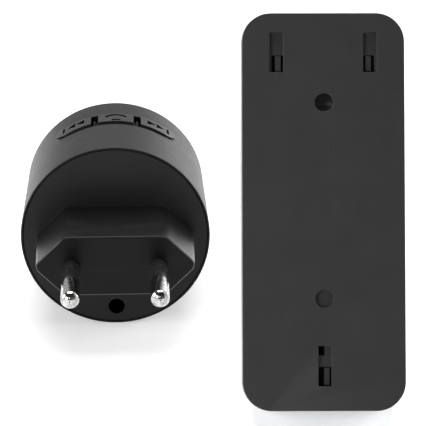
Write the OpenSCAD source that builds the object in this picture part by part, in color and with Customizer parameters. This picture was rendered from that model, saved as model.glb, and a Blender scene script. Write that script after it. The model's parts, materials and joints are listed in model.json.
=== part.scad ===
// Two-piece ultrasonic pest repeller: a round mains plug-in unit that lies on its side with its
// button row on top, and a flat battery wall unit that leans back on its lower edge beside it.
// Origin: centre of the plug's engagement face. +Y runs into the plug-in unit, the pins point to -Y.

/* [Plug-in housing] */
// Radius of the round housing at its rear rim
unit_r_rear = 21.2; // [21.0:0.1:21.6]
// Radius of the round housing at its front
unit_r_front = 20.6; // [20.4:0.1:20.8]
// Length of the round housing
unit_len = 33; // [33:0.5:36]
// How far the plug body stands out from the rear disc
plug_out = 17; // [16:0.5:18]

/* [Plug] */
// Width of the plug body at the engagement face
plug_w = 36; // [35:0.1:37]
// Height of the plug body at the engagement face
plug_h = 13.7; // [13.4:0.1:14]
// Extra width and height where the plug body meets the rear disc
plug_draft = 0.85; // [0.4:0.05:1]
// Radius of a bare plug pin
pin_r = 2; // [1.9:0.05:2.1]
// Length of a plug pin beyond the engagement face
pin_len = 19; // [18:0.5:20]
// Distance between the two pins
pin_pitch = 19; // [18:0.2:19.2]
// Radius of the insulating sleeve on a pin
sleeve_r = 1.84; // [1.78:0.02:1.84]
// Length of the insulating sleeve beyond the engagement face
sleeve_len = 9.8; // [8:0.2:10]

/* [Buttons] */
// Half angle of the button window, seen from the unit's axis
win_half = 40.3; // [40.2:0.1:41]
// Half angle of the middle button cap
cap_half_mid = 11.1; // [10.5:0.1:11.2]
// Half angle of an outer button cap
cap_half_side = 11.95; // [11:0.05:12]
// Angle between neighbouring buttons
cap_pitch = 27.75; // [27.7:0.05:27.8]
// Turn of the whole button row about the unit's axis
row_turn = 1.05; // [0:0.05:2]
// How far a cap stands proud of the housing
cap_proud = 0.25; // [0.1:0.05:0.3]
// Depth of the engraved symbols
icon_depth = 0.55; // [0.3:0.05:0.6]

/* [Wall unit] */
// Width of the wall unit's back cover
cover_w = 33.25; // [33:0.05:33.5]
// Length of the wall unit's back cover
cover_l = 81.35; // [81:0.05:81.5]
// Corner radius of the back cover
cover_r = 5.9; // [5.5:0.1:6.2]
// How much the front shell stands out past the cover all round
shell_lip = 0.2; // [0.1:0.05:0.3]
// Thickness of the wall unit
wall_t = 16.4; // [16.4:0.1:17]
// Rounding of the front shell's edge
edge_r = 2; // [1.5:0.1:2]
// Lean of the wall unit away from upright
lean = 24; // [22:0.5:26]

/* [Hidden] */

y_rear = plug_out;                 // rear rim of the round housing
y_front = plug_out + unit_len;     // front face of the round housing
plate_y = y_rear + 0.05;           // outer face of the rear disc
win_y0 = y_rear + 16.6;            // near edge of the button window
win_y1 = y_rear + 23.7;            // far edge of the button window
win_round = 4.5;                   // rounding of the window's near corners
cap_y0 = win_y0 + 1.5;             // near edge of the caps
cap_y1 = win_y1 - 0.2;             // far edge of the caps
cap_round = 2.6;                   // rounding of an outer cap's near corner
cap_yc = 38.25;                    // centre line of the plungers and symbols
front_round = 1.1;                 // rounding of the housing's front edge
screw_z = -17.1;                   // height of the rear screw
board_y = 24.6;                    // rear face of the main board
board_t = 1.2;
led_a = 135;                       // angle of the status light from the top
led_rad = 16.5;
travel_gap = 0.1;
win_corner = win_half - asin(win_round / 20.9);      // angle of the window's corner centres
cap_corner = cap_pitch + cap_half_side - asin(cap_round / 21.1);
wall_in = -14.8;                   // inner face of the front shell's front wall
shell_w = cover_w + 2 * shell_lip;
shell_l = cover_l + 2 * shell_lip;
shell_r = cover_r + shell_lip;
cover_t = 2.2;
wall_x = 42.95;
wall_y = -25.07;
wall_yaw = -1.85;
// height of the wall unit's centre, so that its rounded lower edge touches the table
wall_z = -unit_r_rear + (shell_l / 2 - edge_r) * cos(lean) + (wall_t - edge_r) * sin(lean) + edge_r;
speaker_y = 27;                    // centre of the wall unit's sounder
button_y = 14.4;                   // centre of the wall unit's button
pcb_z = -9.2;                      // front face of the wall unit's board
cell_x = 5.65;
cell_r = 5.15;
cell_y0 = -35.3;
cell_len = 43.4;

function radius_at(y) = unit_r_rear + (unit_r_front - unit_r_rear) * (y - y_rear) / unit_len;

// ---- helpers ----
// a shape drawn along +Z, laid along +Y from y = 0
module along_y() rotate([-90, 0, 0]) children();
// cylinder parallel to Y at (x, z)
module ycyl(x, z, y0, y1, r, n = 64) translate([x, y0, z]) rotate([-90, 0, 0]) cylinder(r = r, h = y1 - y0, $fn = n);
// 2D drawing in the XZ plane, extruded from y0 to y1
module yslab(y0, y1) translate([0, y1, 0]) rotate([90, 0, 0]) linear_extrude(y1 - y0) children();
// block of a ring around the Y axis; angles count from the top towards +X
module arc_block(a0, a1, r0, r1, y0, y1, n = 180)
    along_y() rotate([0, 0, a0 - 90]) rotate_extrude(angle = a1 - a0, $fn = n)
        translate([r0, y0]) square([r1 - r0, y1 - y0]);
module block(x0, x1, y0, y1, z0, z1) translate([x0, y0, z0]) cube([x1 - x0, y1 - y0, z1 - z0]);
module rrect(w, l, r, n = 96) {
    square([w - 2 * r, l], center = true);
    square([w, l - 2 * r], center = true);
    for (sx = [-1, 1], sy = [-1, 1]) translate([sx * (w / 2 - r), sy * (l / 2 - r)]) circle(r, $fn = n);
}
module slab(z0, z1) translate([0, 0, z0]) linear_extrude(z1 - z0) children();
module zcyl(x, y, z0, z1, r, n = 64) translate([x, y, z0]) cylinder(r = r, h = z1 - z0, $fn = n);
module on_wall() translate([wall_x, wall_y, wall_z]) rotate([90 - lean, 0, wall_yaw]) children();

// ---- plug-in unit: housing and front ----
module front_housing() color([0.13, 0.13, 0.14]) difference() {
    union() {
        along_y() rotate_extrude($fn = 180) {
            polygon([[20.7, y_rear], [unit_r_rear - 0.15, y_rear], [unit_r_rear, y_rear + 0.15],
                [radius_at(y_front - front_round), y_front - front_round],
                [radius_at(y_front - front_round) - front_round, y_front - front_round],
                [radius_at(y_front - front_round) - front_round, y_front], [14.75, y_front], [14.75, y_front - 1.1],
                [13.6, y_front - 1.1], [13.6, y_front - 5.4], [14.6, y_front - 5.4],
                [14.6, y_front - 1.8], [18.75, y_front - 1.8], [19.3, y_rear + 1.8], [20.7, y_rear + 1.8]]);
            translate([radius_at(y_front - front_round) - front_round, y_front - front_round]) circle(front_round, $fn = 64);
        }
        // screw boss, grown from the wall
        intersection() {
            ycyl(0, screw_z, 30.8, 42.4, 2.5);
            ycyl(0, 0, 30, 43, 20, 180);
        }
        // ribs that stop the main board
        for (a = [-82, 82, 150, -150])
            arc_block(a - 2, a + 2, 17.2, 19.2, board_y + board_t, board_y + board_t + 6);
    }
    // button window with rounded near corners
    rotate([0, row_turn, 0]) {
        arc_block(-win_half, win_half, 17, 23, win_y0 + win_round, win_y1);
        arc_block(-win_corner, win_corner, 17, 23, win_y0, win_y1);
        for (s = [-1, 1]) rotate([0, s * win_corner, 0]) zcyl(0, win_y0 + win_round, 16.5, 23, win_round, 96);
    }
    ycyl(0, screw_z, 30, 41.4, 0.85, 32);
    ycyl(led_rad * sin(led_a), led_rad * cos(led_a), y_front - 4.5, y_front + 1, 1.3, 48);
}

module front_grille() color([0.1, 0.1, 0.11]) difference() {
    ycyl(0, 0, y_front - 1.1, y_front, 14.65, 128);
    ycyl(0, 0, y_front - 2, y_front + 1, 0.8, 24);
    for (k = [1:4], i = [0:6 * k - 1])
        ycyl(2.75 * k * cos(i * 60 / k), 2.75 * k * sin(i * 60 / k), y_front - 2, y_front + 1, 0.8, 24);
}

module grille_mesh() color([0.22, 0.22, 0.23]) ycyl(0, 0, y_front - 1.4, y_front - 1.15, 13.4, 96);

module transducer_gasket() color([0.07, 0.07, 0.07]) difference() {
    ycyl(0, 0, y_front - 3.1, y_front - 1.45, 13.4, 96);
    ycyl(0, 0, y_front - 4, y_front - 1, 11.6, 96);
}

module transducer_frame() color([0.17, 0.17, 0.18]) along_y() rotate_extrude($fn = 120)
    polygon([[0, y_front - 9.6], [13.45, y_front - 9.6], [13.45, y_front - 3.15], [12.2, y_front - 3.15],
        [12.2, y_front - 8.4], [1.6, y_front - 8.4], [1.6, y_front - 7.5], [0, y_front - 7.5]]);

module transducer_cone() color([0.72, 0.72, 0.7]) along_y() rotate_extrude($fn = 120)
    polygon([[0, y_front - 6.9], [2.4, y_front - 6.9], [11.2, y_front - 3.9], [12.1, y_front - 3.9],
        [12.1, y_front - 3.55], [11.1, y_front - 3.55], [2.3, y_front - 6.55], [0, y_front - 6.55]]);

module piezo_disc() color([0.8, 0.62, 0.28]) {
    ycyl(0, 0, y_front - 7.45, y_front - 7.2, 7, 96);
    ycyl(0, 0, y_front - 7.2, y_front - 6.95, 5, 96);
}

module speaker_leads() color([0.6, 0.08, 0.06]) for (x = [1.3, 3.1])
    ycyl(x, 2, board_y + board_t + 0.05, y_front - 9.65, 0.45, 24);

// ---- plug-in unit: electronics ----
module main_board() color([0.1, 0.32, 0.16]) difference() {
    ycyl(0, 0, board_y, board_y + board_t, 18.3, 128);
    ycyl(0, screw_z, board_y - 1, board_y + 3, 3, 48);
    for (x = [1.3, 3.1]) ycyl(x, 2, board_y - 1, board_y + 3, 0.35, 24);
}

module transformer_core() color([0.25, 0.25, 0.27]) {
    by = board_y + board_t + 1;
    for (s = [0, 1]) block(-13.5, -0.6, by, by + 9.6, s ? 4.6 : -3, s ? 7 : -0.6);
    block(-13.5, -11.2, by, by + 9.6, -0.6, 4.6);
    block(-2.9, -0.6, by, by + 9.6, -0.6, 4.6);
}

module transformer_bobbin() color([0.75, 0.6, 0.15]) {
    by = board_y + board_t;
    block(-13, -1.1, by, by + 0.95, -2.8, 6.8);
    block(-11.1, -3, by + 0.95, by + 10.4, -0.5, 4.5);
}

module mains_capacitor() color([0.08, 0.09, 0.12]) union() {
    ycyl(9, 4, board_y + board_t, board_y + board_t + 11.4, 3.9, 64);
    ycyl(9, 4, board_y + board_t + 11.4, board_y + board_t + 11.7, 3.3, 64);
}

module output_capacitor() color([0.08, 0.09, 0.12]) union() {
    ycyl(8, -5, board_y + board_t, board_y + board_t + 8, 2.5, 48);
    ycyl(8, -5, board_y + board_t + 8, board_y + board_t + 8.2, 2, 48);
}

module film_capacitor() color([0.72, 0.6, 0.12]) block(-12, -2, board_y + board_t, board_y + board_t + 8, -10.2, -5.8);

module bridge_rectifier() color([0.06, 0.06, 0.06]) {
    block(-2.4, 2.4, board_y - 2.5, board_y, 6, 10);
}

module fuse_resistor() color([0.35, 0.5, 0.45]) translate([-4.5, board_y - 1.6, -8.5]) rotate([0, 90, 0])
    union() {
        cylinder(r = 1.5, h = 9, $fn = 48);
        translate([0, 0, -1.4]) cylinder(r = 0.35, h = 11.8, $fn = 24);
    }

module control_chip() color([0.05, 0.05, 0.05]) union() {
    block(0, 5, board_y + board_t + 0.15, board_y + board_t + 1.7, -12.6, -8.6);
    for (i = [0:3]) block(0.4 + i * 1.2, 0.8 + i * 1.2, board_y + board_t, board_y + board_t + 0.6, -13.3, -7.9);
}

module status_led() color([0.85, 0.9, 0.85]) {
    x = led_rad * sin(led_a);
    z = led_rad * cos(led_a);
    union() {
        ycyl(x, z, board_y + board_t, board_y + board_t + 2.2, 1.45, 48);
        translate([x, board_y + board_t + 2.2, z]) sphere(1, $fn = 48);
    }
}

module light_pipe() color([0.9, 0.95, 0.95, 0.6])
    ycyl(led_rad * sin(led_a), led_rad * cos(led_a), board_y + board_t + 3.3, y_front + 0.1, 1.2, 48);

// ---- plug-in unit: buttons ----
module button_carrier() color([0.2, 0.2, 0.21]) rotate([0, row_turn, 0]) union() {
    arc_block(-43.2, 43.2, 14.7, 16.2, 32.6, 42);
    for (s = [-1, 1]) arc_block(s * 42 - 0.9, s * 42 + 0.9, 16, 18.7, 33, 41.7);
    arc_block(-30, 30, 16, 20.1, win_y0 + 0.4, win_y0 + 1.05);
    for (s = [-1, 1]) for (d = [-0.85, 0.85])
        arc_block(s * (13.45 + d) - 0.65, s * (13.45 + d) + 0.65, 15.9, d > 0 ? 19.9 : 19.5, win_y0 + 0.9, win_y1 - 0.8);
}

module switch_flex() color([0.75, 0.5, 0.2]) rotate([0, row_turn, 0]) difference() {
    arc_block(-38, 38, 16.2, 16.4, 35.6, 41.2);
    for (s = [-1, 1]) arc_block(s * 13.45 - 1.8, s * 13.45 + 1.8, 16.1, 16.6, 30, 50);
}

module tact_switches() color([0.7, 0.7, 0.68]) for (s = [-1, 0, 1]) rotate([0, s * cap_pitch + row_turn, 0]) difference() {
    block(-2.1, 2.1, cap_yc - 2.1, cap_yc + 2.1, 16.4, 17.5);
    zcyl(0, cap_yc, 16.55, 18, 1, 48);
}

module switch_stem(s) color([0.15, 0.15, 0.15]) rotate([0, s * cap_pitch + row_turn, 0]) zcyl(0, cap_yc, 17.02, 17.95, 0.9, 48);
module stem_back() switch_stem(-1);
module stem_mode() switch_stem(0);
module stem_forward() switch_stem(1);

// button cap: curved top, skirt on the far side with a lip under the housing wall, central plunger
module cap_body(s) rotate([0, row_turn, 0]) difference() {
    half = s == 0 ? cap_half_mid : cap_half_side;
    union() {
        along_y() rotate([0, 0, s * cap_pitch - half - 90]) rotate_extrude(angle = 2 * half, $fn = 180)
            polygon([[19.5, cap_y0], [radius_at(cap_y0) + cap_proud, cap_y0], [radius_at(cap_y1) + cap_proud, cap_y1],
                [18.75, cap_y1], [18.75, cap_y1 + 0.9], [18.3, cap_y1 + 0.9], [18.3, cap_y1 - 1], [19.5, cap_y1 - 1]]);
        rotate([0, s * cap_pitch, 0]) zcyl(0, cap_yc, 17.95, 19.8, 1.15, 48);
    }
    // rounded near corner of an outer cap
    if (s != 0) difference() {
        arc_block(s > 0 ? cap_corner : -50, s > 0 ? 50 : -cap_corner, 17, 24, cap_y0 - 1, cap_y0 + cap_round);
        rotate([0, s * cap_corner, 0]) zcyl(0, cap_y0 + cap_round, 15, 25, cap_round, 96);
    }
    intersection() {
        rotate([0, s * cap_pitch, 0]) translate([0, cap_yc, 20]) linear_extrude(3) children();
        difference() {
            ycyl(0, 0, cap_y0 - 1, cap_y1 + 1, 24, 180);
            along_y() translate([0, 0, cap_y0 - 2]) cylinder(
                r1 = radius_at(cap_y0 - 2) + cap_proud - icon_depth, r2 = radius_at(cap_y1 + 2) + cap_proud - icon_depth,
                h = cap_y1 - cap_y0 + 4, $fn = 180);
        }
    }
}

// skip symbol: two triangles and a bar, pointing towards +X for d = 1
module skip_icon(d) {
    for (x = [-2.75, -0.5]) polygon([[d * x, 1.35], [d * (x + 2.1), 0], [d * x, -1.35]]);
    translate([d * 2.5 - 0.29, -1.6]) square([0.58, 3.2]);
}

// sound wave symbol: two arcs, one over the other; each has its centre, radius and half width
module wave_icon() for (a = [[-1.75, 3.0, 2.35], [-3.15, 1.15, 1.0]]) translate([0, a[0]]) intersection() {
    difference() {
        circle(a[1] + 0.45, $fn = 64);
        circle(a[1] - 0.45, $fn = 64);
    }
    translate([-a[2], a[1] * 0.4]) square([2 * a[2], 5]);
}

module button_back() color([0.13, 0.13, 0.14]) cap_body(-1) skip_icon(-1);
module button_mode() color([0.13, 0.13, 0.14]) cap_body(0) wave_icon();
module button_forward() color([0.13, 0.13, 0.14]) cap_body(1) skip_icon(1);

// ---- plug-in unit: rear plate, plug and pins ----
// solid plug body with 45 degree flanks, drafted towards the rear disc
module plug_solid() hull() for (s = [[0, 0, 0.3], [0.3, 0, 0], [plate_y + 0.6, plug_draft / 2, 0]]) {
    w = plug_w / 2 + s[1];
    h = plug_h / 2 + s[1];
    for (sx = [-1, 1]) {
        ycyl(sx * (w - 1.8 * sqrt(2)), 0, s[0], s[0] + 0.01, 1.8 - s[2], 48);
        for (sz = [-1, 1])
            ycyl(sx * (w - h - 3.5 * (sqrt(2) - 1)), sz * (h - 3.5), s[0], s[0] + 0.01, 3.5 - s[2], 48);
    }
}

module hex2d(w, h) polygon([[w / 2, 0], [w / 2 - h / 2, h / 2], [-w / 2 + h / 2, h / 2],
    [-w / 2, 0], [-w / 2 + h / 2, -h / 2], [w / 2 - h / 2, -h / 2]]);

module rear_plate() color([0.12, 0.12, 0.13]) difference() {
    union() {
        difference() {
            union() {
                plug_solid();
                ycyl(0, 0, plate_y, y_rear + 1.7, 20.58, 180);
                ycyl(0, 0, y_rear + 1.7, y_rear + 3.2, 19.05, 180);
            }
            yslab(3, 30) hex2d(plug_w - 4.4, plug_h - 4);
            ycyl(0, 0, y_rear + 2.2, 30, 17.6, 128);
        }
        for (s = [-1, 1]) ycyl(s * pin_pitch / 2, 0, 2.5, 9.2, 3.4, 64);
        intersection() {
            ycyl(0, screw_z, y_rear + 1, 30.6, 2.8, 64);
            ycyl(0, 0, y_rear, 31, 18.85, 180);
        }
        // hook that locates the plate under the housing wall
        arc_block(-8, 8, 17.8, 18.95, y_rear + 3, y_rear + 6);
    }
    for (s = [-1, 1]) {
        ycyl(s * pin_pitch / 2, 0, -1, 8, sleeve_r, 64);
        ycyl(s * pin_pitch / 2, 0, 7, 10, 1.55, 64);
    }
    ycyl(0, screw_z, plate_y - 1, 28.8, 1.84, 64);
    ycyl(0, screw_z, 28, 31, 1.15, 48);
}

module rear_screw() color([0.6, 0.6, 0.62]) difference() {
    union() {
        ycyl(0, screw_z, 27.5, 28.8, 1.7, 64);
        ycyl(0, screw_z, 28.8, 39.4, 0.85, 32);
    }
    for (a = [0, 90]) translate([0, 27.4, screw_z]) rotate([0, a, 0]) block(-1.05, 1.05, 0, 0.8, -0.2, 0.2);
}

module plug_pin(s) color([0.8, 0.8, 0.8]) translate([s * pin_pitch / 2, 0, 0]) along_y() rotate_extrude($fn = 96) {
    dome = 1.35;
    R = (pin_r * pin_r + dome * dome) / (2 * dome);
    intersection() {
        translate([0, -pin_len + R]) circle(R, $fn = 128);
        translate([0, -pin_len]) square([pin_r, dome]);
    }
    translate([0, -pin_len + dome]) square([pin_r, pin_len - dome - sleeve_len]);
    translate([0, -sleeve_len]) square([1.55, sleeve_len + 13]);
}
module pin_left() plug_pin(-1);
module pin_right() plug_pin(1);

module plug_sleeve(s) color([0.08, 0.08, 0.08]) difference() {
    ycyl(s * pin_pitch / 2, 0, -sleeve_len, 8, sleeve_r, 64);
    ycyl(s * pin_pitch / 2, 0, -sleeve_len - 1, 9, 1.55, 64);
}
module pin_sleeve_left() plug_sleeve(-1);
module pin_sleeve_right() plug_sleeve(1);

module plug_contact(s) color([0.75, 0.5, 0.3]) difference() {
    union() {
        ycyl(s * pin_pitch / 2, 0, 11, 11.8, 2.6, 48);
        block(min(s * 6.4, s * 7), max(s * 6.4, s * 7), 11, board_y, -1.6, 1.6);
        block(min(s * 6.4, s * 9), max(s * 6.4, s * 9), 11, 11.8, -1.6, 1.6);
    }
    ycyl(s * pin_pitch / 2, 0, 10, 14, 1.55, 64);
}
module contact_left() plug_contact(-1);
module contact_right() plug_contact(1);

// ---- wall unit: drawn with its back cover facing +Z and its length along Y ----
// slab with a rounded front edge
module soft_slab(w, l, r, z0, z1, e) hull() for (sx = [-1, 1], sy = [-1, 1])
    translate([sx * (w / 2 - r), sy * (l / 2 - r), 0]) rotate_extrude($fn = 64)
        polygon(concat([[0, z0], [r - e, z0]], [for (i = [1:6]) [r - e + e * sin(15 * i), z0 + e - e * cos(15 * i)]], [[r, z1], [0, z1]]));

module wall_shell() color([0.74, 0.75, 0.76]) on_wall() difference() {
    soft_slab(shell_w, shell_l, shell_r, -wall_t, -cover_t, edge_r);
    slab(wall_in, 0) rrect(shell_w - 3, shell_l - 3, shell_r - 1.5);
    zcyl(0, speaker_y, -wall_t - 1, wall_in + 1, 0.65, 24);
    for (k = [1:3], i = [0:6 * k - 1])
        zcyl(2.2 * k * cos(i * 60 / k), speaker_y + 2.2 * k * sin(i * 60 / k), -wall_t - 1, wall_in + 1, 0.65, 24);
    zcyl(0, button_y, -wall_t - 1, wall_in + 1, 3.6, 64);
    zcyl(9, button_y, -wall_t - 1, wall_in + 1, 1.1, 48);
}

module wall_chassis() color([0.15, 0.15, 0.16]) on_wall() union() {
    difference() {
        union() {
            slab(wall_in + 0.1, -4) difference() {
                rrect(shell_w - 3.3, shell_l - 3.3, shell_r - 1.65);
                rrect(shell_w - 5.7, shell_l - 5.7, shell_r - 2.85);
            }
            // deck over the electronics
            slab(-5.2, -4) intersection() {
                rrect(shell_w - 3.4, shell_l - 3.4, shell_r - 1.7);
                translate([-20, 10]) square([40, 40]);
            }
            block(-14.5, 14.5, 10, 11, wall_in + 0.1, -4);
            block(-0.35, 0.35, -37.4, 10.5, wall_in + 0.1, -5.5);
            block(-1.1, 1.2, -37.4, -31.4, -5.8, -4.2);
            for (s = [-1, 1]) block(s * 13.9 - 0.6, s * 13.9 + 0.6, 12, 37, -8, -4.6);
        }
        zcyl(0.1, 22.35, -6, -3, 3.3, 64);
        // room for the key's flange
        zcyl(0, button_y, wall_in, wall_in + 1.6, 4.5, 64);
    }
    // closed cup behind the upper screw hole
    zcyl(0.1, 22.35, -6.1, -5.1, 4, 64);
    // tongues that reach up into the cover's windows
    for (s = [-1, 1]) block(min(s * 8.65, s * 9.85), max(s * 8.65, s * 9.85), 28.75, 31.9, -4.6, -0.95);
    block(0, 1.12, -35.45, -31.9, -5, -0.95);
    // rib seen through the upper screw hole
    block(-3.2, 3.4, 21.88, 22.72, -5.2, -4.4);
}

module wall_cover() color([0.2, 0.2, 0.21]) on_wall() difference() {
    union() {
        slab(-cover_t, 0) rrect(cover_w, cover_l, cover_r);
        slab(-3.6, -cover_t) difference() {
            rrect(shell_w - 3.4, shell_l - 3.4, shell_r - 1.7);
            rrect(shell_w - 5.2, shell_l - 5.2, shell_r - 2.6);
        }
        zcyl(0.1, 22.35, -3.9, -cover_t, 3, 64);
    }
    for (s = [-1, 1]) {
        block(min(s * 8.2, s * 10.98), max(s * 8.2, s * 10.98), 28.53, 36.7, -1, 1);
        block(min(s * 8.2, s * 10.5), max(s * 8.2, s * 10.5), 28.53, 32.05, -4, 1);
    }
    block(-1.18, 1.45, -35.67, -27.5, -1, 1);
    block(-1.18, 1.45, -35.67, -31.75, -4, 1);
    block(-1.18, 0.1, -29.35, -27.5, -4, 1);
    zcyl(0.1, 22.35, -5, 1, 1.85, 64);
    zcyl(0.15, -17.85, -0.9, 1, 1.9, 64);
}

module wall_board() color([0.1, 0.32, 0.16]) on_wall() difference() {
    slab(pcb_z, -8) intersection() {
        rrect(shell_w - 6.2, shell_l - 6.2, shell_r - 3.1);
        translate([-20, 11.3]) square([40, 40]);
    }
    for (s = [-1, 1]) zcyl(s * 2.5, speaker_y, pcb_z - 1, -7, 0.4, 24);
}

module wall_chip() color([0.05, 0.05, 0.05]) on_wall() union() {
    block(-2.6, 2.6, 29, 33, -7.85, -6.3);
    for (i = [0:3]) block(-2.2 + i * 1.2, -1.8 + i * 1.2, 28.3, 33.7, -8, -7.4);
}

module wall_mesh() color([0.25, 0.25, 0.26]) on_wall() zcyl(0, speaker_y, wall_in, wall_in + 0.2, 7.9, 96);

module wall_transducer() color([0.75, 0.75, 0.74]) on_wall() difference() {
    zcyl(0, speaker_y, wall_in + 0.25, pcb_z - 0.05, 7.9, 96);
    zcyl(0, speaker_y, wall_in, wall_in + 2, 6.8, 96);
}

module wall_button() color([0.55, 0.56, 0.57]) on_wall() union() {
    zcyl(0, button_y, -wall_t - 0.4, wall_in - 0.1, 3.4, 96);
    zcyl(0, button_y, wall_in + travel_gap, wall_in + 0.7, 4.1, 96);
    zcyl(0, button_y, wall_in - 0.2, wall_in + 0.2, 3.4, 96);
    zcyl(0, button_y, wall_in + 0.5, pcb_z - 1.65, 1.1, 48);
}

module wall_stem() color([0.15, 0.15, 0.15]) on_wall() zcyl(0, button_y, pcb_z - 1.65, pcb_z - 0.62, 0.9, 48);

module wall_switch() color([0.7, 0.7, 0.68]) on_wall() difference() {
    block(-2.1, 2.1, button_y - 2.1, button_y + 2.1, pcb_z - 1.1, pcb_z);
    zcyl(0, button_y, pcb_z - 3, pcb_z - 0.15, 1, 48);
}

module wall_led() color([0.85, 0.9, 0.85]) on_wall() block(8.2, 9.8, button_y - 0.8, button_y + 0.8, pcb_z - 1, pcb_z);

module wall_light_pipe() color([0.9, 0.95, 0.95, 0.6]) on_wall() zcyl(9, button_y, -wall_t - 0.05, pcb_z - 1.1, 1.02, 48);

module aaa_cell(s) color([0.16, 0.3, 0.22]) on_wall() translate([s * cell_x, 0, -9.4]) rotate([-90, 0, 0]) union() {
    translate([0, 0, cell_y0]) cylinder(r = cell_r, h = cell_len, $fn = 96);
    translate([0, 0, s > 0 ? cell_y0 + cell_len - 0.1 : cell_y0 - 0.9]) cylinder(r = 1.9, h = 1, $fn = 48);
}
module cell_left() aaa_cell(-1);
module cell_right() aaa_cell(1);

module contacts_top() color([0.75, 0.75, 0.76]) on_wall() for (s = [-1, 1]) union() {
    block(s * cell_x - 3.5, s * cell_x + 3.5, 9.4, 9.8, -13, -6);
    block(s * cell_x - 1, s * cell_x + 1, cell_y0 + cell_len + (s > 0 ? 0.95 : 0.05), 9.5, -10.4, -8.4);
}

module contact_bottom() color([0.75, 0.75, 0.76]) on_wall() union() {
    block(-9.5, -0.5, -37.5, -37.1, -13, -6);
    block(0.5, 9.5, -37.5, -37.1, -13, -6);
    block(-0.6, 0.6, -37.85, -37.45, -13, -6);
    for (s = [-1, 1]) block(s > 0 ? 0.45 : -0.65, s > 0 ? 0.65 : -0.45, -37.85, -37.1, -13, -6);
    for (s = [-1, 1]) block(s * cell_x - 1, s * cell_x + 1, -37.2, cell_y0 - (s > 0 ? 0.05 : 0.95), -10.4, -8.4);
}

front_housing();
front_grille();
grille_mesh();
transducer_gasket();
transducer_frame();
transducer_cone();
piezo_disc();
speaker_leads();
main_board();
transformer_core();
transformer_bobbin();
mains_capacitor();
output_capacitor();
film_capacitor();
bridge_rectifier();
fuse_resistor();
control_chip();
button_carrier();
switch_flex();
tact_switches();
stem_back();
stem_mode();
stem_forward();
button_back();
button_mode();
button_forward();
status_led();
light_pipe();
rear_plate();
rear_screw();
pin_left();
pin_right();
pin_sleeve_left();
pin_sleeve_right();
contact_left();
contact_right();
wall_shell();
wall_chassis();
wall_cover();
wall_board();
wall_chip();
wall_mesh();
wall_transducer();
wall_button();
wall_stem();
wall_switch();
wall_led();
wall_light_pipe();
cell_left();
cell_right();
contacts_top();
contact_bottom();
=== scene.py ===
import bpy
import json
import math
from mathutils import Matrix, Vector


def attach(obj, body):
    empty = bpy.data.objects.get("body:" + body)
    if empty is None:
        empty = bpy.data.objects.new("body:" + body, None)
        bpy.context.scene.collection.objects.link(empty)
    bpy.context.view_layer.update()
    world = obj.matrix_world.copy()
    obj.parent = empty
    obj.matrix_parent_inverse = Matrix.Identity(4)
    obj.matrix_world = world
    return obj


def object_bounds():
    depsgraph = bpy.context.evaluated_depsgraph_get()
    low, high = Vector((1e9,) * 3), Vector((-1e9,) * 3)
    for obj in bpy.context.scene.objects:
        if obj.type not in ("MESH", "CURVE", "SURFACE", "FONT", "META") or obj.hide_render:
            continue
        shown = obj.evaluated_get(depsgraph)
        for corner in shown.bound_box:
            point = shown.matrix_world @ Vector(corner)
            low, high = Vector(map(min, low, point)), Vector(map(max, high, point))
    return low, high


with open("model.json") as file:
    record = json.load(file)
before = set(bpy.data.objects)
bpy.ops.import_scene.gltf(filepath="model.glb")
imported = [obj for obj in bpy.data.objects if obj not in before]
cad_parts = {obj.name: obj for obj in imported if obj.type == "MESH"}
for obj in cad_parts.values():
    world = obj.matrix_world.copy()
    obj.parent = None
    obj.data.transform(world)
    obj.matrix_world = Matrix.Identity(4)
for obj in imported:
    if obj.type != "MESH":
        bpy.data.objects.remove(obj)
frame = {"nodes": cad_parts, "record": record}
cad_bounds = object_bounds()
nodes = frame["nodes"]
scene = bpy.context.scene
scene.view_settings.view_transform = "Standard"
scene.view_settings.look = "None"

MM = 0.001

# ------------------------------------------------------------------ camera
cam_data = bpy.data.cameras.new("camera")
cam = bpy.data.objects.new("camera", cam_data)
scene.collection.objects.link(cam)
right = Vector((0.9992997, -0.0374193, 0.0))
up = Vector((0.0138549, 0.3700013, 0.9289279))
back = Vector((-0.0347598, -0.9282774, 0.3702606))
cam.matrix_world = Matrix((
    (right.x, up.x, back.x, 4.0576 * MM),
    (right.y, up.y, back.y, -459.031 * MM),
    (right.z, up.z, back.z, 195.236 * MM),
    (0, 0, 0, 1),
))
cam_data.sensor_width = 36.0
cam_data.lens = 193.74
cam_data.clip_start = 0.01
cam_data.clip_end = 20.0
scene.camera = cam


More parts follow.
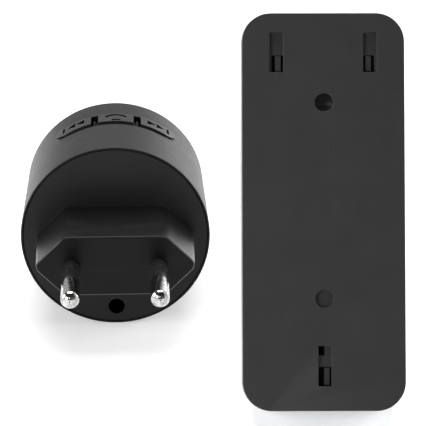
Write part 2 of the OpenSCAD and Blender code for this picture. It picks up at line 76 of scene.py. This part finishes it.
# ------------------------------------------------------------------ material helpers
class Mat:
    """A small wrapper that keeps node building short."""

    def __init__(self, name):
        self.m = bpy.data.materials.new(name)
        self.m.use_nodes = True
        self.nt = self.m.node_tree
        self.nt.nodes.clear()
        self.out = self.nt.nodes.new("ShaderNodeOutputMaterial")
        self.bsdf = self.nt.nodes.new("ShaderNodeBsdfPrincipled")
        self.nt.links.new(self.bsdf.outputs["BSDF"], self.out.inputs["Surface"])
        self.tex = self.nt.nodes.new("ShaderNodeTexCoord")

    def node(self, kind, **values):
        n = self.nt.nodes.new(kind)
        for k, v in values.items():
            setattr(n, k, v)
        return n

    def link(self, a, b):
        self.nt.links.new(a, b)

    def noise(self, size_mm, detail=3.0, rough=0.55, stretch=None):
        """Noise whose features are about size_mm wide; returns its factor."""
        n = self.node("ShaderNodeTexNoise")
        n.inputs["Scale"].default_value = 1.0 / (size_mm * MM)
        n.inputs["Detail"].default_value = detail
        n.inputs["Roughness"].default_value = rough
        src = self.tex.outputs["Object"]
        if stretch:
            m = self.node("ShaderNodeMapping")
            m.inputs["Scale"].default_value = stretch
            self.link(src, m.inputs["Vector"])
            src = m.outputs["Vector"]
        self.link(src, n.inputs["Vector"])
        return n.outputs["Fac"]

    def voronoi(self, size_mm, feature="F1", rand=1.0):
        n = self.node("ShaderNodeTexVoronoi", feature=feature)
        n.inputs["Scale"].default_value = 1.0 / (size_mm * MM)
        n.inputs["Randomness"].default_value = rand
        self.link(self.tex.outputs["Object"], n.inputs["Vector"])
        return n.outputs["Distance"]

    def span(self, value, lo, hi, a, b):
        """Maps value from lo..hi to a..b, clamped."""
        n = self.node("ShaderNodeMapRange")
        n.inputs["From Min"].default_value = lo
        n.inputs["From Max"].default_value = hi
        n.inputs["To Min"].default_value = a
        n.inputs["To Max"].default_value = b
        self.link(value, n.inputs["Value"])
        return n.outputs["Result"]

    def math(self, op, a, b=None):
        n = self.node("ShaderNodeMath", operation=op)
        for i, v in enumerate((a, b)):
            if v is None:
                continue
            if isinstance(v, (int, float)):
                n.inputs[i].default_value = v
            else:
                self.link(v, n.inputs[i])
        return n.outputs[0]

    def mix(self, fac, c0, c1):
        n = self.node("ShaderNodeMix", data_type="RGBA")
        if isinstance(fac, (int, float)):
            n.inputs[0].default_value = fac
        else:
            self.link(fac, n.inputs[0])
        for sock, c in ((n.inputs[6], c0), (n.inputs[7], c1)):
            if isinstance(c, (tuple, list)):
                sock.default_value = (*c[:3], 1.0)
            else:
                self.link(c, sock)
        return n.outputs[2]

    def worn_edge(self, lo=0.52, hi=0.6):
        """Mask that is 1 on convex edges."""
        g = self.node("ShaderNodeNewGeometry")
        return self.span(g.outputs["Pointiness"], lo, hi, 0.0, 1.0)

    def bump(self, height, depth_mm, strength=1.0, normal=None):
        n = self.node("ShaderNodeBump")
        n.inputs["Strength"].default_value = strength
        n.inputs["Distance"].default_value = depth_mm * MM
        self.link(height, n.inputs["Height"])
        if normal is not None:
            self.link(normal, n.inputs["Normal"])
        return n.outputs["Normal"]

    def set(self, **values):
        for k, v in values.items():
            self.bsdf.inputs[k.replace("_", " ")].default_value = v
        return self


def moulded(name, base, rough=0.45, grain_mm=0.28, grain_depth=0.006, spec=0.5, spread=0.18, tint=(1, 1, 1), wear=0.25, rough_span=0.08, paint=None):
    """Moulded plastic: spark-eroded grain, faint flow clouds, uneven gloss and rubbed edges."""
    m = Mat(name)
    cloud = m.noise(9.0, 2.0)
    speck = m.noise(0.7, 4.0, 0.7)
    lo = [c * (1 - spread) for c in base]
    hi = [c * (1 + spread) * t for c, t in zip(base, tint)]
    col = m.mix(m.span(cloud, 0.3, 0.7, 0, 1), lo, hi)
    col = m.mix(m.span(speck, 0.62, 0.8, 0, 0.35), col, [min(1, c * 1.9 + 0.004) for c in base])
    col = m.mix(m.math("MULTIPLY", m.worn_edge(), wear), col, [min(1, c * 2.6 + 0.012) for c in base])
    if paint == "key":
        # painted shade: everything sunk well below the curved top of a key, inside the engraved symbols, gets a
        # near-black colour and almost no gloss
        xyz = m.node("ShaderNodeSeparateXYZ")
        m.link(m.tex.outputs["Object"], xyz.inputs[0])
        rad = m.math("SQRT", m.math("ADD", m.math("POWER", xyz.outputs["X"], 2.0), m.math("POWER", xyz.outputs["Z"], 2.0)))
        top = m.span(xyz.outputs["Y"], 0.017, 0.050, 0.02145, 0.02085)
        sunk = m.span(m.math("SUBTRACT", top, rad), 0.00004, 0.00009, 0.0, 1.0)
        inside = m.math("MULTIPLY", m.math("GREATER_THAN", xyz.outputs["Y"], 0.03525), m.math("LESS_THAN", xyz.outputs["Y"], 0.04035))
        recess_shade = m.math("MULTIPLY", sunk, inside)
        col = m.mix(recess_shade, col, (0.0016, 0.0016, 0.0018))
        m.link(m.span(recess_shade, 0.0, 1.0, spec, 0.04), m.bsdf.inputs["Specular IOR Level"])
    if paint == "plate":
        # the engagement face is finer and duller than the disc; the disc gets a paler base colour as painted light
        # that offsets the shade the hex body casts on it, and the deep screw recess is painted near black with no
        # gloss as painted shade
        xyz = m.node("ShaderNodeSeparateXYZ")
        m.link(m.tex.outputs["Object"], xyz.inputs[0])
        dz = m.math("ADD", xyz.outputs["Z"], 0.0171)
        rad = m.math("SQRT", m.math("ADD", m.math("POWER", xyz.outputs["X"], 2.0), m.math("POWER", dz, 2.0)))
        recess_shade_mask = m.math("MULTIPLY", m.span(rad, 0.00188, 0.00194, 1.0, 0.0), m.span(xyz.outputs["Y"], 0.0171, 0.0173, 0.0, 1.0))
        face = m.span(xyz.outputs["Y"], 0.00002, 0.00012, 1.0, 0.0)
        disc = m.span(xyz.outputs["Y"], 0.01695, 0.01702, 0.0, 1.0)
        level = m.math("ADD", spec, m.math("MULTIPLY", face, FACE_SPEC - spec))
        level = m.math("ADD", level, m.math("MULTIPLY", disc, DISC_SPEC - spec))
        col = m.mix(disc, col, DISC_PAINTED_LIGHT_BASE)
        m.link(m.math("MULTIPLY", level, m.math("SUBTRACT", 1.0, recess_shade_mask)), m.bsdf.inputs["Specular IOR Level"])
        col = m.mix(recess_shade_mask, col, (0.0004, 0.0004, 0.0004))
    if paint == "cup":
        # painted light: a paler patch on the closed cup behind the screw hole stands in for light falling into the
        # hole
        d = m.node("ShaderNodeVectorMath", operation="DISTANCE")
        m.link(m.tex.outputs["Object"], d.inputs[0])
        d.inputs[1].default_value = (0.0435100, -0.0108285, 0.0402908)
        col = m.mix(m.span(d.outputs["Value"], 0.0036, 0.0042, 1.0, 0.0), col, (0.17, 0.17, 0.175))
        m.set(Specular_IOR_Level=spec)
    if paint == "rim":
        # painted shade: the rear rim face gets a darker colour and its own gloss, so it reads as dark as the disc it
        # holds
        xyz = m.node("ShaderNodeSeparateXYZ")
        m.link(m.tex.outputs["Object"], xyz.inputs[0])
        face = m.span(xyz.outputs["Y"], 0.01703, 0.01708, 1.0, 0.0)
        m.link(m.math("ADD", spec, m.math("MULTIPLY", face, RIM_SPEC - spec)), m.bsdf.inputs["Specular IOR Level"])
        col = m.mix(face, col, (0.004, 0.004, 0.0042))
    m.link(col, m.bsdf.inputs["Base Color"])
    r = m.math("ADD", m.span(m.noise(2.5, 3.0), 0.3, 0.7, rough - rough_span, rough + rough_span), m.span(speck, 0.55, 0.8, 0, 0.06))
    m.link(r, m.bsdf.inputs["Roughness"])
    pit = m.voronoi(grain_mm)
    fine = m.noise(grain_mm * 0.6, 3.0, 0.6)
    h = m.math("ADD", m.math("MULTIPLY", pit, 0.6), fine)
    m.link(m.bump(h, grain_depth), m.bsdf.inputs["Normal"])
    if paint is None:
        m.set(Specular_IOR_Level=spec)
    return m.m


def metal(name, base, rough=0.18, brush=None, spread=0.06, scratch=0.002, cloud_mm=3.0):
    m = Mat(name)
    cloud = m.noise(cloud_mm, 3.0)
    col = m.mix(m.span(cloud, 0.3, 0.7, 0, 1), [c * (1 - spread) for c in base], [min(1, c * (1 + spread)) for c in base])
    m.link(col, m.bsdf.inputs["Base Color"])
    line = m.noise(0.25, 4.0, 0.65, brush or (1, 1, 1))
    m.link(m.span(line, 0.3, 0.75, rough * 0.7, rough * 1.6), m.bsdf.inputs["Roughness"])
    m.link(m.bump(line, scratch), m.bsdf.inputs["Normal"])
    m.set(Metallic=1.0)
    return m.m


def clear(name, base, rough=0.12):
    m = Mat(name)
    col = m.mix(m.span(m.noise(1.5, 2.0), 0.3, 0.7, 0, 1), base, [c * 0.9 for c in base])
    m.link(col, m.bsdf.inputs["Base Color"])
    m.link(m.span(m.noise(0.4, 3.0), 0.3, 0.7, rough * 0.6, rough * 1.5), m.bsdf.inputs["Roughness"])
    m.link(m.bump(m.noise(0.3, 2.0), 0.002), m.bsdf.inputs["Normal"])
    m.set(Transmission_Weight=0.75, IOR=1.49)
    return m.m


# the last value here is the disc's base colour, a painted light: paler than the plate so it offsets the shade the hex
# body casts on the disc
FACE_SPEC, RIM_SPEC, DISC_SPEC, DISC_PAINTED_LIGHT_BASE = 0.12, 0.14, 0.14, (0.013, 0.013, 0.0134)
M = {
    "unit_black": moulded("unit_black", (0.008, 0.008, 0.0083), rough=0.4, grain_mm=0.3, grain_depth=0.004, spec=0.28, spread=0.07, rough_span=0.025, paint="rim"),
    "plate_black": moulded("plate_black", (0.0052, 0.0052, 0.0054), rough=0.31, grain_mm=0.3, grain_depth=0.003, spec=0.42, spread=0.1, rough_span=0.03, wear=0.12, paint="plate"),
    "carrier_black": moulded("carrier_black", (0.027, 0.027, 0.0275), rough=0.75, grain_mm=0.5, grain_depth=0.003, spec=0.08),
    "key_black": moulded("key_black", (0.012, 0.012, 0.0124), rough=0.36, grain_mm=0.35, grain_depth=0.003, spec=0.36, spread=0.08, rough_span=0.03, wear=0.4, paint="key"),
    "sleeve_black": moulded("sleeve_black", (0.01, 0.01, 0.01), rough=0.24, grain_mm=0.6, grain_depth=0.001, spec=0.5),
    "cover_black": moulded("cover_black", (0.0168, 0.0168, 0.0172), rough=0.5, grain_mm=0.32, grain_depth=0.006, spec=0.4, spread=0.1, rough_span=0.04),
    "shell_silver": moulded("shell_silver", (0.55, 0.56, 0.575), rough=0.36, grain_mm=0.25, grain_depth=0.003, spread=0.03, wear=0.1),
    "button_silver": moulded("button_silver", (0.36, 0.365, 0.375), rough=0.3, grain_mm=0.3, grain_depth=0.002, spread=0.04, wear=0.2),
    "nickel": metal("nickel", (0.48, 0.475, 0.465), 0.12, spread=0.5, scratch=0.004, cloud_mm=0.9),
    "screw_steel": metal("screw_steel", (0.42, 0.42, 0.43), 0.3),
    "copper": metal("copper", (0.8, 0.46, 0.26), 0.3),
    "mesh_steel": metal("mesh_steel", (0.12, 0.12, 0.125), 0.45),
    "foam": moulded("foam", (0.02, 0.02, 0.02), rough=0.9, grain_mm=0.5, grain_depth=0.08, spec=0.2),
    "cone_foil": metal("cone_foil", (0.75, 0.75, 0.73), 0.35),
    "piezo_brass": metal("piezo_brass", (0.83, 0.62, 0.3), 0.3),
    "lead_red": moulded("lead_red", (0.45, 0.03, 0.02), rough=0.35),
    "board_green": moulded("board_green", (0.02, 0.13, 0.05), rough=0.3, grain_mm=0.8, grain_depth=0.004, spread=0.12),
    "ferrite": moulded("ferrite", (0.06, 0.06, 0.065), rough=0.6, grain_mm=0.2, grain_depth=0.01),
    "winding_tape": moulded("winding_tape", (0.72, 0.46, 0.05), rough=0.25, spread=0.08),
    "capacitor_jacket": moulded("capacitor_jacket", (0.015, 0.018, 0.04), rough=0.22),
    "film_box": moulded("film_box", (0.6, 0.42, 0.04), rough=0.3),
    "chip_epoxy": moulded("chip_epoxy", (0.015, 0.015, 0.015), rough=0.6),
    "resistor_coat": moulded("resistor_coat", (0.18, 0.33, 0.28), rough=0.5),
    "flex_amber": moulded("flex_amber", (0.5, 0.22, 0.03), rough=0.3),
    "switch_steel": metal("switch_steel", (0.66, 0.66, 0.65), 0.3),
    "stem_black": moulded("stem_black", (0.02, 0.02, 0.02), rough=0.4),
    "led_clear": clear("led_clear", (0.95, 0.97, 0.95)),
    "lens_clear": clear("lens_clear", (0.93, 0.96, 0.97)),
    "cell_jacket": metal("cell_jacket", (0.1, 0.28, 0.17), 0.32),
    "contact_nickel": metal("contact_nickel", (0.75, 0.74, 0.72), 0.25),
}
chassis_black = moulded("chassis_black", (0.027, 0.027, 0.0275), rough=0.75, grain_mm=0.5, grain_depth=0.003, spec=0.08, paint="cup")
slot_of = {s["node"]: s["material_slot"] for s in frame["record"]["subparts"]}
for name, obj in nodes.items():
    obj.data.materials.clear()
    obj.data.materials.append(chassis_black if name == "wall_chassis" else M[slot_of[name]])

# ------------------------------------------------------------------ edges of the CAD pieces
# bevel width in mm and how many segments; the mesh itself is left alone, only modifiers are added
EDGE = {
    "front_housing": (0.07, 2), "rear_plate": (0.2, 3), "wall_cover": (0.16, 3), "wall_shell": (0.12, 2),
    "button_back": (0.12, 3), "button_mode": (0.12, 3), "button_forward": (0.12, 3),
    "pin_left": (0.12, 3), "pin_right": (0.12, 3), "pin_sleeve_left": (0.1, 2), "pin_sleeve_right": (0.1, 2),
    "wall_chassis": (0.1, 2), "wall_button": (0.3, 4), "front_grille": (0.1, 2), "button_carrier": (0.08, 2),
}
for name, obj in nodes.items():
    for p in obj.data.polygons:
        p.use_smooth = True
    w = obj.modifiers.new("weld", "WELD")
    w.merge_threshold = 2e-6
    d = obj.modifiers.new("planar", "DECIMATE")
    d.decimate_type = "DISSOLVE"
    d.angle_limit = math.radians(0.4)
    width, seg = EDGE.get(name, (0.05, 1))
    b = obj.modifiers.new("edges", "BEVEL")
    b.width = width * MM
    b.segments = seg
    b.limit_method = "ANGLE"
    b.angle_limit = math.radians(32)
    b.use_clamp_overlap = True
    b.harden_normals = True
    b.miter_outer = "MITER_ARC"
    n = obj.modifiers.new("normals", "WEIGHTED_NORMAL")
    n.keep_sharp = True

# ------------------------------------------------------------------ skin behind the outer keys
# closes the thin crescents that the round window corners leave behind the two outer keys;
# it lies 0.02 mm under the housing's surface, so it only shows inside them
for label, a0, a1 in (("left", -42.0, -14.0), ("right", 16.0, 44.0)):
    verts, faces = [], []
    N = 40
    for i in range(N + 1):
        a = math.radians(a0 + (a1 - a0) * i / N)
        for y, drop in ((40.72, 0.02), (42.85, 0.02), (42.85, 0.4), (40.72, 0.4)):
            r = 21.2 - 0.6 * (y - 17) / 33 - drop
            verts.append((r * math.sin(a) * MM, y * MM, r * math.cos(a) * MM))
    for i in range(N):
        for k in range(4):
            q = (k + 1) % 4
            faces.append((4 * i + k, 4 * i + q, 4 * i + 4 + q, 4 * i + 4 + k))
    faces.append((3, 2, 1, 0))
    faces.append((4 * N, 4 * N + 1, 4 * N + 2, 4 * N + 3))
    skin_me = bpy.data.meshes.new("window_skin_" + label)
    skin_me.from_pydata(verts, [], faces)
    skin = bpy.data.objects.new("window_skin_" + label, skin_me)
    scene.collection.objects.link(skin)
    skin.data.materials.append(M["unit_black"])
    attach(skin, "plug_unit")

# ------------------------------------------------------------------ floor, lights and surroundings
table_z = cad_bounds[0][2]
me = bpy.data.meshes.new("floor")
S = 3.0
me.from_pydata([(-S, -S, table_z), (S, -S, table_z), (S, S, table_z), (-S, S, table_z)], [], [(0, 1, 2, 3)])
floor = bpy.data.objects.new("floor", me)
scene.collection.objects.link(floor)
fm = Mat("pale_floor")
fm.link(fm.mix(fm.span(fm.noise(40.0, 2.0), 0.3, 0.7, 0, 1), (0.8, 0.8, 0.8), (0.82, 0.82, 0.82)), fm.bsdf.inputs["Base Color"])
# the floor's emission makes it glow a little, a painted light that lightens the shadows cast on it
fm.set(Roughness=0.85, Specular_IOR_Level=0.2, Emission_Color=(1.0, 1.0, 1.0, 1.0), Emission_Strength=0.3)
floor.data.materials.append(fm.m)

DIM, BACK, RIGHT, TOP = 0.05, 0.6, 1.5, 0.6
world = bpy.data.worlds.new("studio")
scene.world = world
world.use_nodes = True
nt = world.node_tree
nt.nodes.clear()
wo = nt.nodes.new("ShaderNodeOutputWorld")
bg = nt.nodes.new("ShaderNodeBackground")
bg.inputs["Strength"].default_value = 1.0
# a bright backdrop behind the object, a dim room in front of it, a little brighter on the right
tc = nt.nodes.new("ShaderNodeTexCoord")
sep = nt.nodes.new("ShaderNodeSeparateXYZ")
nt.links.new(tc.outputs["Generated"], sep.inputs[0])


def ramp(sock, lo, hi, a, b):
    n = nt.nodes.new("ShaderNodeMapRange")
    n.interpolation_type = "SMOOTHSTEP"
    for k, v in (("From Min", lo), ("From Max", hi), ("To Min", a), ("To Max", b)):
        n.inputs[k].default_value = v
    nt.links.new(sock, n.inputs["Value"])
    return n.outputs["Result"]


def wmath(op, a, b):
    n = nt.nodes.new("ShaderNodeMath")
    n.operation = op
    nt.links.new(a, n.inputs[0])
    nt.links.new(b, n.inputs[1])
    return n.outputs[0]


side = wmath("MULTIPLY", ramp(sep.outputs["X"], 0.1, 0.5, 0.0, RIGHT), ramp(sep.outputs["Z"], 0.15, 0.6, 1.0, 0.1))
side = wmath("MULTIPLY", side, ramp(sep.outputs["Y"], -0.2, 0.6, 0.15, 1.0))
tone = wmath("ADD", ramp(sep.outputs["Y"], -0.35, 0.8, DIM, BACK), side)
tone = wmath("MULTIPLY", tone, ramp(sep.outputs["Z"], 0.3, 0.8, 1.0, TOP))
nt.links.new(tone, bg.inputs["Color"])
bg2 = nt.nodes.new("ShaderNodeBackground")
bg2.inputs["Color"].default_value = (0.97, 0.97, 0.97, 1)
lp = nt.nodes.new("ShaderNodeLightPath")
mx = nt.nodes.new("ShaderNodeMixShader")
nt.links.new(lp.outputs["Is Camera Ray"], mx.inputs[0])
nt.links.new(bg.outputs[0], mx.inputs[1])
nt.links.new(bg2.outputs[0], mx.inputs[2])
nt.links.new(mx.outputs[0], wo.inputs["Surface"])


def area(name, pos, target, size, power, size_y=None):
    d = bpy.data.lights.new(name, "AREA")
    d.energy = power
    d.size = size
    if size_y:
        d.shape = "RECTANGLE"
        d.size_y = size_y
    o = bpy.data.objects.new(name, d)
    scene.collection.objects.link(o)
    o.location = pos
    o.rotation_euler = (Vector(target) - Vector(pos)).to_track_quat("-Z", "Y").to_euler()
    return o


area("overhead", (0.0, 0.32, 1.1), (0.0, 0.04, 0.0), 1.0, 15.0)
area("soft_right", (0.85, 0.1, 0.35), (0.02, 0.02, 0.0), 0.5, 4.5)
area("soft_left", (-0.85, -0.05, 0.35), (0.0, 0.02, 0.0), 0.5, 4.0)
area("front_fill", (-0.12, -1.1, 0.5), (0.02, 0.0, 0.0), 0.3, 0.5)
area("side_fill", (-0.75, -0.85, 0.4), (0.02, 0.0, 0.0), 0.5, 6.5)
